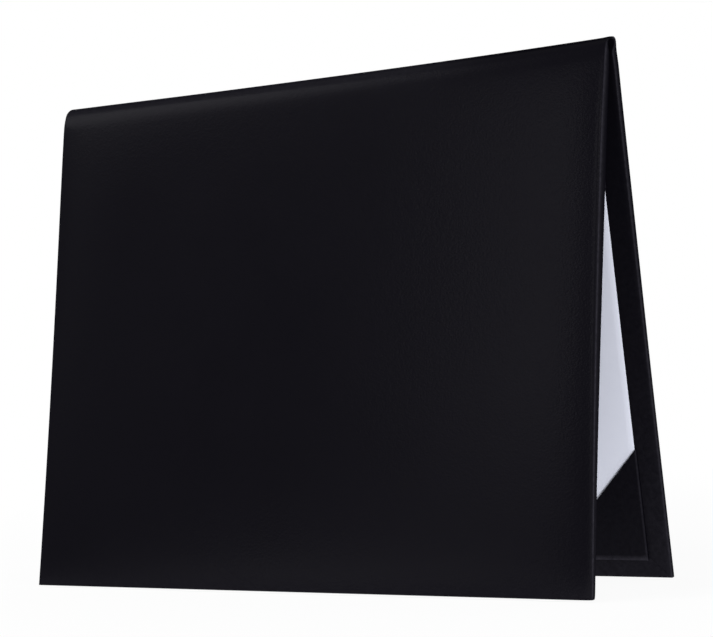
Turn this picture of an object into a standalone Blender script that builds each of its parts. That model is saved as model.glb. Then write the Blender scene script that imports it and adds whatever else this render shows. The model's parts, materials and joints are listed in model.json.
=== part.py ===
"""Landscape diploma cover, standing as a tent with its fold on top.

Two padded, leatherette-covered boards are joined along their top edges by a soft spine.
Inside, a lined panel covers each board's turned-in edges, and four corner pockets on
the back cover hold a letter-size sheet. The sheet drives the sizes: the inner panel is
the sheet with some play, and each cover is the inner panel with its borders.

Each cover is drawn hanging from its crease, in the crease's own frame: X runs along the
fold, Z up towards the fold, and Y out of the cover, with the crease at Y = 0, Z = 0.
Metres, Z up, origin on the table under the middle of the tent.
"""

from math import cos, pi, radians, sin, sqrt

import bmesh
import bpy

# Sheet that the cover is made for, and its play in the pockets
SHEET_WIDTH = 0.2794
SHEET_HEIGHT = 0.2159
SHEET_THICKNESS = 0.0002
SHEET_PLAY_SIDE = 0.0046
SHEET_PLAY_TOP = 0.0047

# Black borders of the covers that show round the inner panels
SIDE_BORDER = 0.0104
BOTTOM_BORDER = 0.0092
TOP_BORDER = 0.0115

# Layers of a cover
SKIN_THICKNESS = 0.0005
BOARD_THICKNESS = 0.0018
PANEL_THICKNESS = 0.0008
POCKET_THICKNESS = 0.0004
LINING_THICKNESS = 0.0005
LAYER_GAP = 0.0002

# Padding: how far the skin rises over the board, how wide its rolled rim is, and the foam's edge
CROWN_HEIGHT = 0.0012
CROWN_REACH = 0.0260
FOAM_RIM = 0.0003

# Turned edges
EDGE_RADIUS = 0.0012
TURN_IN = 0.0160
MITRE_SLIT = 0.0003

# Corner pockets
POCKET_LEG_ALONG = 0.0470
POCKET_LEG_UP = 0.0503
POCKET_FLAP = 0.0120
POCKET_EDGE_RADIUS = 0.0008

# Fold
BOARD_TO_CREASE = 0.0050
LINING_TO_CREASE = 0.0019
LINING_TUCK = 0.0080
SPINE_ARCH = 0.0008
SPINE_TURN_IN = 0.0104
SPINE_EDGE_RADIUS = 0.0006
CREASE_GAP = 0.0002
CLOSED_GAP = 0.0004
STAND_ANGLE = radians(8.5)

# Smoothness of the curved forms
ARC_STEPS = 4
CROWN_STEPS = 8
ARCH_STEPS = 10

# Finishes: colour, roughness
LEATHERETTE = ((0.0090, 0.0082, 0.0115), 0.42)
LINED_BOARD = ((0.0110, 0.0105, 0.0130), 0.60)
GREYBOARD = ((0.2200, 0.2000, 0.1750), 0.90)
FOAM = ((0.6000, 0.5900, 0.5500), 0.95)
WHITE_CARD = ((0.8200, 0.8300, 0.8700), 0.75)

# Sizes that follow from the values above
PANEL_WIDTH = SHEET_WIDTH + SHEET_PLAY_SIDE
PANEL_HEIGHT = SHEET_HEIGHT + SHEET_PLAY_TOP
COVER_WIDTH = PANEL_WIDTH + 2 * SIDE_BORDER
COVER_HEIGHT = PANEL_HEIGHT + TOP_BORDER + BOTTOM_BORDER
HALF_WIDTH = COVER_WIDTH / 2

# Depths under the crease's plane, from the skin inwards
BOARD_FACE = SKIN_THICKNESS + LAYER_GAP
BOARD_BACK = BOARD_FACE + BOARD_THICKNESS
EDGE_THICKNESS = BOARD_BACK + LAYER_GAP + SKIN_THICKNESS
FLAP_FACE = EDGE_THICKNESS + LAYER_GAP
BACK_PANEL_FACE = FLAP_FACE + POCKET_THICKNESS + LAYER_GAP
SHEET_FACE = BACK_PANEL_FACE + PANEL_THICKNESS + LAYER_GAP
POCKET_INSIDE = SHEET_FACE + SHEET_THICKNESS + LAYER_GAP
POCKET_FACE = POCKET_INSIDE + POCKET_THICKNESS
FRONT_PANEL_FACE = EDGE_THICKNESS + LAYER_GAP

# The spine is as wide as the closed cover is thick
SPINE_WIDTH = POCKET_FACE + FRONT_PANEL_FACE + PANEL_THICKNESS + CLOSED_GAP
SPINE_DEPTH = 2 * SKIN_THICKNESS + LAYER_GAP


def clear_scene():
    for item in list(bpy.data.objects):
        bpy.data.objects.remove(item, do_unlink=True)


def give_finish(piece, finish):
    """Give a piece its own plain material."""
    colour, roughness = finish
    material = bpy.data.materials.new(piece.name + "_finish")
    material.use_nodes = True
    shader = material.node_tree.nodes["Principled BSDF"]
    shader.inputs["Base Color"].default_value = (*colour, 1.0)
    shader.inputs["Roughness"].default_value = roughness
    shader.inputs["Metallic"].default_value = 0.0
    material.diffuse_color = (*colour, 1.0)
    piece.data.materials.append(material)


def new_piece(name, form, parent, finish):
    """Turn a bmesh into a named object that hangs on a crease."""
    bmesh.ops.recalc_face_normals(form, faces=form.faces)
    mesh = bpy.data.meshes.new(name)
    form.to_mesh(mesh)
    form.free()
    mesh.shade_smooth()
    mesh.set_sharp_from_angle(angle=radians(35))
    piece = bpy.data.objects.new(name, mesh)
    bpy.context.scene.collection.objects.link(piece)
    piece.parent = parent
    give_finish(piece, finish)
    return piece


def new_crease(name, location, rotation, parent=None):
    """An empty on a crease's axis, which carries the pieces that turn about it."""
    crease = bpy.data.objects.new(name, None)
    crease.empty_display_size = 0.02
    bpy.context.scene.collection.objects.link(crease)
    crease.location = location
    crease.rotation_euler = rotation
    crease.parent = parent
    return crease


def arc(centre, radius, start, end):
    """Points on a circular arc, ends included."""
    angles = [start + (end - start) * step / ARC_STEPS for step in range(ARC_STEPS + 1)]
    return [(centre[0] + radius * cos(a), centre[1] + radius * sin(a)) for a in angles]


def turned_edge(face, back, edge, reach, thickness, radius):
    """Section of a sheet that is turned round an edge, as (inset, depth) points.

    It runs from the face round the edge and along the back as far as the reach, then
    returns on the sheet's other side. Insets grow away from the edge.
    """
    way = 1 if back > face else -1
    near = (edge + radius, face + way * radius)
    far = (edge + radius, back - way * radius)
    inner = radius - thickness
    section = arc(near, radius, -way * pi / 2, -way * pi)
    section += arc(far, radius, way * pi, way * pi / 2)
    section += [(reach, back), (reach, back - way * thickness)]
    section += arc(far, inner, way * pi / 2, way * pi)
    section += arc(near, inner, -way * pi, -way * pi / 2)
    return section


def join_rings(form, ring, following, closed):
    """Faces between two rings of equally many vertices."""
    count = len(ring)
    for index in range(count if closed else count - 1):
        after = (index + 1) % count
        form.faces.new((ring[index], ring[after], following[after], following[index]))


def loft(rings):
    """A closed solid through rings of equally many points."""
    form = bmesh.new()
    rows = [[form.verts.new(point) for point in ring] for ring in rings]
    for ring, following in zip(rows, rows[1:]):
        join_rings(form, ring, following, closed=True)
    form.faces.new(rows[0])
    form.faces.new(rows[-1])
    return form


def wrapped_sheet(outside, edge, inside):
    """A sheet whose leaf is turned over along every side but one.

    Each argument lists rings of points, which run from one end of the open side round to
    the other. The outside rings lead from the middle of the leaf to its turned edge, the
    edge rings go round the turn and back, and the inside rings return to the middle.
    """
    form = bmesh.new()
    rows = [[form.verts.new(point) for point in ring] for ring in outside + edge + inside]
    first = len(outside)
    last = first + len(edge) - 1
    for index, (ring, following) in enumerate(zip(rows, rows[1:])):
        join_rings(form, ring, following, closed=index < first or index >= last)
    form.faces.new(rows[0])
    form.faces.new(rows[-1])
    form.faces.new([row[0] for row in rows[first:last + 1]])
    form.faces.new([row[-1] for row in rows[first:last + 1]])
    form.faces.new((rows[first][0], rows[first][-1], rows[last][-1], rows[last][0]))
    return form


def plate(left, right, bottom, top, face, thickness):
    """A flat plate of a cover, given by its sides and its depth under the crease's plane."""
    outline = ((left, bottom), (right, bottom), (right, top), (left, top))
    return loft([[(x, -depth, z) for x, z in outline] for depth in (face, face + thickness)])


def soften(piece, width):
    """Round a plate's edges a little."""
    bevel = piece.modifiers.new("Soft edges", "BEVEL")
    bevel.width = width
    bevel.segments = 2
    bevel.limit_method = "ANGLE"
    bevel.angle_limit = radians(60)


def crown(inset):
    """Height of the padded skin over its edge, from the rolled rim to the flat middle."""
    share = (inset - EDGE_RADIUS) / (CROWN_REACH - EDGE_RADIUS)
    return CROWN_HEIGHT * (1 - (1 - share) ** 2)


def crown_inset(height):
    """Inset at which the padded skin has risen to a height."""
    return EDGE_RADIUS + (CROWN_REACH - EDGE_RADIUS) * (1 - sqrt(1 - height / CROWN_HEIGHT))


def crown_insets(rim):
    """Insets of the crown's rings, from the flat middle out to a rim."""
    return [CROWN_REACH + (rim - CROWN_REACH) * step / CROWN_STEPS for step in range(CROWN_STEPS + 1)]


def cover_ring(inset, depth, from_crease=0.0):
    """One ring of a cover's skin or foam, from the crease's left end round to its right end.

    Under the crease's plane it ends on a 45 degree mitre, which leaves the spine its room
    when the cover is closed.
    """
    side = HALF_WIDTH - inset
    top = -CREASE_GAP - from_crease - max(0.0, depth)
    bottom = -COVER_HEIGHT + inset
    return [(-side, -depth, top), (-side, -depth, bottom), (side, -depth, bottom), (side, -depth, top)]


def crown_rings(insets, under):
    """Rings that follow the padded skin at a depth under its outer side."""
    return [cover_ring(inset, under - crown(inset), inset - EDGE_RADIUS) for inset in insets]


def mitre_cutter(name, crease, side):
    """A thin slit along the diagonal of a turned-in corner, as a guide for the cut."""
    half_slit = MITRE_SLIT / 2
    outline = []
    for inset, across in ((EDGE_RADIUS, -half_slit), (EDGE_RADIUS, half_slit),
                          (TURN_IN + EDGE_RADIUS, half_slit), (TURN_IN + EDGE_RADIUS, -half_slit)):
        offset = across / sqrt(2)
        x = side * (HALF_WIDTH - inset - offset)
        z = -COVER_HEIGHT + inset - offset
        outline.append((x, z))
    depths = (BOARD_BACK + LAYER_GAP / 2, EDGE_THICKNESS + LAYER_GAP)
    form = loft([[(x, -depth, z) for x, z in outline] for depth in depths])
    cutter = new_piece(name, form, crease, LEATHERETTE)
    cutter.display_type = "WIRE"
    cutter.hide_render = True
    return cutter


def cover_skin(name, crease):
    """Leatherette over the padding, turned in on three sides with mitred lower corners."""
    insets = crown_insets(EDGE_RADIUS)[:-1]
    turn = turned_edge(0.0, EDGE_THICKNESS, 0.0, TURN_IN, SKIN_THICKNESS, EDGE_RADIUS)
    form = wrapped_sheet(
        crown_rings(insets, 0.0),
        [cover_ring(inset, depth) for inset, depth in turn],
        crown_rings(reversed(insets), SKIN_THICKNESS))
    skin = new_piece(name, form, crease, LEATHERETTE)
    for side, word in ((-1, "left"), (1, "right")):
        cut = skin.modifiers.new("Mitre " + word, "BOOLEAN")
        cut.operation = "DIFFERENCE"
        cut.solver = "EXACT"
        cut.object = mitre_cutter(name + "_mitre_" + word, crease, side)


def foam_pad(name, crease):
    """Thin foam under the skin, flat on the board and crowned towards the skin."""
    insets = crown_insets(crown_inset(LAYER_GAP + FOAM_RIM))
    rim = insets[-1]
    base = cover_ring(rim, BOARD_FACE - LAYER_GAP, rim - EDGE_RADIUS - (BOARD_FACE - LAYER_GAP))
    new_piece(name, loft([base] + crown_rings(reversed(insets), BOARD_FACE)), crease, FOAM)


def board(name, crease):
    """Greyboard that stiffens a cover."""
    side = HALF_WIDTH - BOARD_FACE
    bottom = -COVER_HEIGHT + BOARD_FACE
    form = plate(-side, side, bottom, -BOARD_TO_CREASE, BOARD_FACE, BOARD_THICKNESS)
    soften(new_piece(name, form, crease, GREYBOARD), LAYER_GAP)


def hinge_strip(name, crease):
    """Strip that lines the fold, glued between the turned-in sides and tucked under the panel."""
    side = HALF_WIDTH - TURN_IN - LAYER_GAP
    form = plate(-side, side, -TOP_BORDER - LINING_TUCK, -LINING_TO_CREASE,
                 BOARD_BACK + LAYER_GAP, LINING_THICKNESS)
    new_piece(name, form, crease, LEATHERETTE)


def inner_panel(name, crease, face):
    """Lined panel that covers the turned-in edges."""
    half = PANEL_WIDTH / 2
    form = plate(-half, half, -COVER_HEIGHT + BOTTOM_BORDER, -TOP_BORDER, face, PANEL_THICKNESS)
    soften(new_piece(name, form, crease, LINED_BOARD), PANEL_THICKNESS / 4)


def insert_sheet(name, crease):
    """Blank sheet, slid to one side and standing in the lower pockets."""
    right = PANEL_WIDTH / 2
    bottom = -COVER_HEIGHT + BOTTOM_BORDER
    form = plate(right - SHEET_WIDTH, right, bottom, bottom + SHEET_HEIGHT, SHEET_FACE, SHEET_THICKNESS)
    new_piece(name, form, crease, WHITE_CARD)


def corner_pocket(name, crease, side, lower):
    """Leatherette triangle over a corner, folded round both edges and behind the panel."""
    corner_z = -COVER_HEIGHT + BOTTOM_BORDER if lower else -TOP_BORDER
    upward = 1 if lower else -1

    def pocket_ring(inset, depth):
        """The ring's ends lie on the line of the pocket's open long side."""
        outline = ((POCKET_LEG_ALONG * (1 - inset / POCKET_LEG_UP), inset), (inset, inset),
                   (inset, POCKET_LEG_UP * (1 - inset / POCKET_LEG_ALONG)))
        return [(side * (PANEL_WIDTH / 2 - across), -depth, corner_z + upward * up) for across, up in outline]

    lip = LAYER_GAP + POCKET_THICKNESS
    turn = turned_edge(POCKET_FACE, FLAP_FACE, -lip, POCKET_FLAP, POCKET_THICKNESS, POCKET_EDGE_RADIUS)
    form = wrapped_sheet([], [pocket_ring(inset, depth) for inset, depth in turn], [])
    new_piece(name, form, crease, LEATHERETTE)


def spine_ring(section, share):
    """A section of the spine at a share of the way from its middle to a crease.

    Both long sides lean in by 45 degrees, so that the closed cover's skins fit beside them.
    """
    rise = SPINE_ARCH * (1 - share ** 2)
    half = SPINE_WIDTH / 2 - CREASE_GAP
    return [(x, -SPINE_WIDTH / 2 + share * (half - depth), rise - depth) for x, depth in section]


def spine_shares():
    """Places of the spine's sections, from the front crease to the back one."""
    return [2 * step / ARCH_STEPS - 1 for step in range(ARCH_STEPS + 1)]


def spine_cover(name, crease):
    """Leatherette over the fold, arched between the creases and turned in at both ends."""
    turn = turned_edge(0.0, SPINE_DEPTH, 0.0, SPINE_TURN_IN, SKIN_THICKNESS, SPINE_EDGE_RADIUS)
    right = [(HALF_WIDTH - inset, depth) for inset, depth in turn]
    left = [(-x, depth) for x, depth in reversed(right)]
    form = loft([spine_ring(right + left, share) for share in spine_shares()])
    new_piece(name, form, crease, LEATHERETTE)


def spine_lining(name, crease):
    """Strip that lines the fold between the creases and the turned-in ends."""
    half = HALF_WIDTH - SPINE_TURN_IN - LAYER_GAP
    face = SKIN_THICKNESS + LAYER_GAP
    back = face + LINING_THICKNESS
    section = [(-half, face), (half, face), (half, back), (-half, back)]
    form = loft([spine_ring(section, share) for share in spine_shares()])
    new_piece(name, form, crease, LEATHERETTE)


def cover(name, crease):
    """The layers that both covers share."""
    cover_skin(name + "_cover_skin", crease)
    foam_pad(name + "_foam_pad", crease)
    board(name + "_board", crease)
    hinge_strip(name + "_hinge_strip", crease)


def diploma_cover():
    clear_scene()
    lowest = EDGE_THICKNESS * sin(STAND_ANGLE) + COVER_HEIGHT * cos(STAND_ANGLE)
    back = new_crease("back_crease", (0, SPINE_WIDTH / 2, lowest), (STAND_ANGLE, 0, 0))
    spine = new_crease("spine_on_back_crease", (0, SPINE_WIDTH / 2, lowest), (0, 0, 0))
    front = new_crease("front_crease", (0, -SPINE_WIDTH, 0), (STAND_ANGLE, 0, pi), spine)

    cover("back", back)
    inner_panel("back_inner_panel", back, BACK_PANEL_FACE)
    insert_sheet("insert_sheet", back)
    for lower, height in ((True, "lower"), (False, "upper")):
        for side, word in ((-1, "left"), (1, "right")):
            corner_pocket("corner_pocket_" + height + "_" + word, back, side, lower)

    spine_cover("spine_cover", spine)
    spine_lining("spine_lining", spine)

    cover("front", front)
    inner_panel("front_inner_panel", front, FRONT_PANEL_FACE)


diploma_cover()
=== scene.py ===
# %% [markdown]
# # A diploma cover that stands as a tent
#
# Two padded covers hang from one soft fold, and the back one holds a sheet in four corner
# pockets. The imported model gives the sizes: where the two creases lie, how far the covers
# lean and how thick each layer is. Here that frame is dressed: the skins become one run of
# leatherette over foam, the pockets become folded triangles, and every surface gets its grain.

# %% Load the frame
import json
import math
from collections import namedtuple

import bmesh
import bpy
import numpy as np
from mathutils import Matrix, Vector


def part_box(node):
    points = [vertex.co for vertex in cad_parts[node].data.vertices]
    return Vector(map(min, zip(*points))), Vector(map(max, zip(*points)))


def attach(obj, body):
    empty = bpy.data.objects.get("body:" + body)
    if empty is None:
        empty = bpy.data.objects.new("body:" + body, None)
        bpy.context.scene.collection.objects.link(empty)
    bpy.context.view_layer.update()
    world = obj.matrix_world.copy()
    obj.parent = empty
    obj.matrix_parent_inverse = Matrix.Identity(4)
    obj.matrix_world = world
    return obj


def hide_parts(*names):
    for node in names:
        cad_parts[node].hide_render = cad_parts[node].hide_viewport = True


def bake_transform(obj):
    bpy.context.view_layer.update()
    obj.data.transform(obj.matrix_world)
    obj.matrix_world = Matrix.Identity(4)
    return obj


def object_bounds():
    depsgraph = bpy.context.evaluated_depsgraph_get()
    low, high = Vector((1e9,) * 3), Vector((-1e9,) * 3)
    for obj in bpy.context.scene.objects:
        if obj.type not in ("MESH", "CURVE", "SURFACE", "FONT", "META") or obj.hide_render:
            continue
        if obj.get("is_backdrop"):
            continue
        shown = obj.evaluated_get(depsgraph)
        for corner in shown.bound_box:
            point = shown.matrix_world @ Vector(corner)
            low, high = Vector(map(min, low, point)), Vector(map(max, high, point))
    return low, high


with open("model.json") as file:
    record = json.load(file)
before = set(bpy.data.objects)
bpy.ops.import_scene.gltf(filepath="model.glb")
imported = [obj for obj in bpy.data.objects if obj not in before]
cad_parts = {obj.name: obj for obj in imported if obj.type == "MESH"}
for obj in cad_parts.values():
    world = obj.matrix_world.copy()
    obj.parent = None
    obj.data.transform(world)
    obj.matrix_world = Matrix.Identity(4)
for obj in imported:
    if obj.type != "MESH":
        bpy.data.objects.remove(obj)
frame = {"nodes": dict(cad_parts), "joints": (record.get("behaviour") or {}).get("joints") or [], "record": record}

cad_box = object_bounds()
record = frame["record"]
print("packed nodes:", len(frame["nodes"]))

# %% [markdown]
# ## Camera
#
# The cover was photographed with a long lens from a metre away, to the right of its middle
# and at half its height. The camera comes first, because each shape is judged through it.
# Its place was found by fitting the corners, the fold and the sheet's edge. It is tilted a
# touch about its own axis, which makes the bottom edge slope, so the lens needs no shift.

# %% Place the camera
PHOTO_WIDTH = 713
FOCAL_LENGTH = 2048.22
SENSOR = 36.0
CAMERA_PLACE = (0.52471, -0.82215, 0.11661)
CAMERA_TURN = math.radians(31.797)
CAMERA_RAISE = math.radians(0.480)
CAMERA_ROLL = math.radians(-2.865)

camera = bpy.data.objects.new("camera", bpy.data.cameras.new("camera"))
bpy.context.scene.collection.objects.link(camera)
bpy.context.scene.camera = camera
camera.data.sensor_width = SENSOR
camera.data.lens = FOCAL_LENGTH * SENSOR / PHOTO_WIDTH
camera.location = CAMERA_PLACE
turned = Matrix.Rotation(CAMERA_TURN, 3, "Z")
raised = Matrix.Rotation(math.pi / 2 + CAMERA_RAISE, 3, "X")
rolled = Matrix.Rotation(CAMERA_ROLL, 3, "Z")
camera.rotation_euler = (turned @ raised @ rolled).to_euler()
print("lens:", round(camera.data.lens, 1), "mm")

# %% [markdown]
# ## The covers' own frames
#
# A cover is easiest to draw lying flat: x along the fold, *rise* out of its plane and *drop*
# down from its crease. The crease's place comes from the joint, and the lean from the flat
# face that the record names. `measure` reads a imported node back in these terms, so that
# each new piece takes its size from the node that it stands for.

# %% A cover's own frame
creases = {joint["name"]: Vector(joint["pos_m"]) for joint in frame["joints"]}
outward = Vector(record["mounts"][0]["axis"])
LEAN = math.atan2(outward.z, outward.y)


class Cover:
    """One cover: side is -1 in front of the fold and 1 behind it."""

    def __init__(self, name, side):
        self.name = name
        self.side = side
        self.body = name + "_cover"
        self.crease = creases[name + "_crease"]

    def measure(self, node):
        """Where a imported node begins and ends, in x, rise and drop."""
        points = np.array([vertex.co for vertex in frame["nodes"][node].data.vertices])
        out = self.side * (points[:, 1] - self.crease.y)
        up = points[:, 2] - self.crease.z
        rise = out * math.cos(LEAN) + up * math.sin(LEAN)
        drop = out * math.sin(LEAN) - up * math.cos(LEAN)
        return {"left": points[:, 0].min(), "right": points[:, 0].max(),
                "inside": rise.min(), "outside": rise.max(),
                "top": drop.min(), "bottom": drop.max()}


front = Cover("front", -1)
back = Cover("back", 1)
skin_room = back.measure("back_cover_skin")
spine_low, spine_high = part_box("spine_cover")
HALF_WIDTH = float(skin_room["right"])
HEIGHT = float(skin_room["bottom"])
EDGE_THICKNESS = float(-skin_room["inside"])
PADDING = float(skin_room["outside"])
HALF_FOLD = back.crease.y
FOLD_TOP = spine_high.z - back.crease.z
FOLD_THICKNESS = back.crease.z - spine_low.z
print("cover:", round(2 * HALF_WIDTH * 1000, 1), "x", round(HEIGHT * 1000, 1), "mm, lean",
      round(math.degrees(LEAN), 1), "degrees")

# %% [markdown]
# ## One path over the fold
#
# The leatherette runs over the fold as one sheet, so its pieces are placed by the *run*:
# the length from the fold's middle line over the round of the fold and down the cover. A
# sharp corner at each crease would look like folded tin. Two straight lines with an arc
# between them give the soft shoulder that real leatherette has.

# %% The run over the fold
FOLD_ROUND = 0.0054

arc_turn = math.pi / 2 - LEAN
arc_reach = FOLD_ROUND * math.tan(arc_turn / 2)
flat_top = HALF_FOLD - FOLD_TOP * math.tan(LEAN) - arc_reach
arc_end = flat_top + FOLD_ROUND * arc_turn
arc_end_drop = arc_reach - FOLD_TOP / math.cos(LEAN)


def run_at(drop):
    """The run to a drop below the crease, for places beyond the fold's round."""
    return arc_end + drop - arc_end_drop


def fold_path(run):
    """Distance from the fold's middle plane, height over the creases and turn of the surface."""
    if run < flat_top:
        return run, FOLD_TOP, 0.0
    turn = min(run - flat_top, FOLD_ROUND * arc_turn) / FOLD_ROUND
    out = flat_top + FOLD_ROUND * math.sin(turn)
    up = FOLD_TOP - FOLD_ROUND * (1 - math.cos(turn))
    beyond = max(0.0, run - arc_end)
    return out + beyond * math.sin(LEAN), up - beyond * math.cos(LEAN), turn


FOLD_RUN = run_at(0.0)
LENGTH = run_at(HEIGHT)
print("run from the fold's middle to the bottom edge:", round(LENGTH * 1000, 1), "mm")

# %% [markdown]
# ## Handmade unevenness
#
# A real cover is never flat. The pull of the skin bows the front board outwards, most at
# its right side. The fold leans back towards the sheet's side, sags a little at its middle
# and stands up at its right end like a small pressed ear, while its left end is rounded
# off. Near the fold the rims are swollen, and the front cover's right edge stands up as a
# ridge. These are smooth functions of place, so they are written as formulas: each layer of
# a cover passes through the same ones and stays parallel to its neighbours. Moving points
# one by one would reach the same shape, but nobody could read why, or change one swell alone.

# %% Smooth steps and bells
def ease(value, start, end):
    """Smooth step, 0 before start and 1 after end."""
    share = min(1.0, max(0.0, (value - start) / (end - start)))
    return share * share * (3 - 2 * share)


def bell(distance, reach):
    """1 at no distance, falling smoothly to 0 on both sides."""
    return math.exp(-(distance / reach) ** 2)


def between(low, high, share):
    """The number at a share of the way from low to high."""
    return low + (high - low) * share


def share_down(run):
    """Share of the way from the crease to the bottom edge."""
    return min(1.0, max(0.0, (run - FOLD_RUN) / HEIGHT))


def share_right(x):
    """Share of the way from the left side to the right one."""
    return (x / HALF_WIDTH + 1) / 2


print("share of the way down at half the run:", round(share_down(LENGTH / 2), 2))

# %% Bow of the front cover
FRONT_BOW = 0.0005
FRONT_BOW_TO_RIGHT = 0.0016
FRONT_LEAN = 0.0028
FRONT_LEAN_TO_RIGHT = 0.0014


def bow(cover, x, run):
    """How far all layers of a cover lie out of its plane."""
    if cover is back:
        return 0.0
    down = share_down(run)
    sideways = x / HALF_WIDTH
    arch = 4 * down * (1 - down) * (FRONT_BOW + FRONT_BOW_TO_RIGHT * sideways)
    return arch + down * (FRONT_LEAN + FRONT_LEAN_TO_RIGHT * sideways)


front_bow = bow(front, HALF_WIDTH, LENGTH / 2)
print("bow of the front cover at its right side:", round(1000 * front_bow, 2), "mm")

# %% Sag and raised end of the fold
FOLD_RISE = 0.0005
FOLD_SAG = 0.0003
SAG_SHARE = 0.3
FOLD_END_LIFT = 0.0018
FOLD_END_CURVE = 2.6
LIFT_REACH = 0.022
EAR_LIFT = 0.0002
EAR_LIFT_LEFT = 0.3
EAR_REACH = 0.0030
EAR_CORNER = 0.0012
EAR_CORNER_REACH = 0.0025


def fold_lift(x, run):
    """How far the fold stands over its packed height: a sag, a raised end and a small ear."""
    to_right = share_right(x)
    lift = FOLD_RISE - FOLD_SAG * ease(to_right, 0.0, SAG_SHARE)
    lift += FOLD_END_LIFT * max(0.0, (to_right - SAG_SHARE) / (1 - SAG_SHARE)) ** FOLD_END_CURVE
    ear = EAR_LIFT * bell(HALF_WIDTH - abs(x), EAR_REACH) * between(EAR_LIFT_LEFT, 1.0, to_right)
    return lift * bell(run, LIFT_REACH) + ear * bell(run, 2 * EAR_REACH)


def ear_corner(cover, x, run):
    """The fold's raised end is pressed flat, which gives its shoulder a corner."""
    if cover is front or x < 0:
        return 0.0
    near_end = bell(HALF_WIDTH - x, EAR_REACH)
    return EAR_CORNER * near_end * bell(run - FOLD_RUN, EAR_CORNER_REACH)


print("rise of the fold at its right end:", round(1000 * fold_lift(HALF_WIDTH, 0.0), 2), "mm")

# %% Lean of the fold
FOLD_LEAN = 0.0022
FOLD_LEAN_LESS = 0.0011
FOLD_LEAN_END = {"front": 0.014, "back": 0.008}
FOLD_END_BACK = 0.0012


def fold_back(cover, x, run):
    """How far the fold leans back, which flattens its front shoulder and sharpens its back one."""
    to_right = share_right(x) ** 2
    lean = (FOLD_LEAN - FOLD_LEAN_LESS * to_right) * (1 - ease(run, 0.0, FOLD_LEAN_END[cover.name]))
    return lean + FOLD_END_BACK * to_right * math.exp(-run / LIFT_REACH)


print("lean of the fold at its middle:", round(1000 * fold_back(back, 0.0, 0.0), 2), "mm")

# %% Swollen rims
RIM_REACH = 0.0030
RIM_SWELL_RUN = (0.002, 0.016)
BACK_RIM_SWELL = 0.0014
BACK_SWELL_FADE = (0.1, 0.7)
FRONT_RIM_SWELL = 0.0025
FRONT_RIM_PINCH = 0.0038
FRONT_PINCH_GROWTH = (0.25, 1.1)
FRONT_RIDGE = 0.0012
FRONT_RIDGE_LESS = 0.0006
FRONT_RIDGE_REACH = 0.0009
FRONT_RIDGE_RUN = (0.002, 0.050)
EAR_DEPTH = 0.0012
EAR_RUN = 0.010
EAR_HALF_LENGTH = 0.005


def at_rim(x):
    """1 at a side edge, falling to 0 inwards."""
    return math.exp(-(HALF_WIDTH - abs(x)) / RIM_REACH)


def rim_outside(cover, x, run):
    """Swelling of a cover's rim on its outer side."""
    if cover is back:
        swell = BACK_RIM_SWELL * (1 - ease(share_down(run), *BACK_SWELL_FADE))
        return at_rim(x) * swell * ease(run, *RIM_SWELL_RUN)
    ridge = FRONT_RIDGE - FRONT_RIDGE_LESS * share_down(run)
    return math.exp((x - HALF_WIDTH) / FRONT_RIDGE_REACH) * ridge * ease(run, *FRONT_RIDGE_RUN)


def rim_inside(cover, x, run):
    """Swelling of a cover's rim on its inner side, which turns into a pinch towards the table."""
    if cover is back:
        return at_rim(x) * EAR_DEPTH * (x > 0) * bell(run - EAR_RUN, EAR_HALF_LENGTH)
    swell = FRONT_RIM_SWELL - FRONT_RIM_PINCH * ease(share_down(run), *FRONT_PINCH_GROWTH)
    return at_rim(x) * swell * ease(run, *RIM_SWELL_RUN)


ridge_height = rim_outside(front, HALF_WIDTH, LENGTH / 2)
print("ridge at the front cover's right edge:", round(1000 * ridge_height, 2), "mm")

# %% The place of a point
FOLD_END_ROUND = 0.0011
FOLD_END_REACH = 0.0070
FOLD_END_FADE = 0.018
CORNER_SOFTNESS = 0.0004
CORNER_REACH = 0.0012


def place(cover, x, run, rise):
    """The point of a cover at x, at a run from the fold's middle and at a rise over its plane."""
    to_side = HALF_WIDTH - abs(x)
    if x < 0:
        x += FOLD_END_ROUND * math.exp(-to_side / FOLD_END_REACH - run / FOLD_END_FADE)
    elif cover is front:
        pull = CORNER_SOFTNESS * math.exp(-(to_side + LENGTH - run) / CORNER_REACH)
        x -= pull
        run -= pull
    out, up, turn = fold_path(run)
    rise += bow(cover, x, run) + ear_corner(cover, x, run)
    out += rise * math.sin(turn)
    up += rise * math.cos(turn) + fold_lift(x, run)
    return Vector((x, cover.side * out + fold_back(cover, x, run), cover.crease.z + up))


low_corner = place(front, HALF_WIDTH, LENGTH, 0.0)
print("front cover's lower right corner:", [round(1000 * along, 1) for along in low_corner], "mm")

# %% [markdown]
# ## From rows of points to pieces
#
# All the pieces are sheets or layers, so a few helpers make them. `sew` joins two rows of
# points with faces, `spread` lays such rows over a cover, `layer` fills the space between
# two surfaces, and `finish_piece` turns the result into an object. The rows lie close
# together where a surface bends sharply and far apart where it is nearly flat, which keeps
# the round edges smooth and the meshes light.

# %% Rows of points
def graded(start, end, first, last, widest=0.006, growth=0.25):
    """Places from start to end, close together at the ends and wider apart between them."""
    places = [start]
    while places[-1] < end:
        here = places[-1]
        step = min(widest, first + growth * (here - start), last + growth * (end - here))
        places.append(here + step)
    stretch = (end - start) / (places[-1] - start)
    return [start + (here - start) * stretch for here in places]


def add_row(form, points):
    """New vertices at the points."""
    return [form.verts.new(point) for point in points]


def sew(form, row, following, closed=False):
    """Faces between two rows of as many points."""
    count = len(row)
    for index in range(count if closed else count - 1):
        after = (index + 1) % count
        form.faces.new((row[index], row[after], following[after], following[index]))


def spread(form, cover, columns, runs, rise):
    """A sheet over a cover, at the rise that a function gives for x and run."""
    rows = []
    for run in runs:
        rows.append(add_row(form, [place(cover, x, run, rise(x, run)) for x in columns]))
    for row, following in zip(rows, rows[1:]):
        sew(form, row, following)
    return rows


print("places over 100 mm in steps from 1 mm:", len(graded(0.0, 0.1, 0.001, 0.001)))

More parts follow.
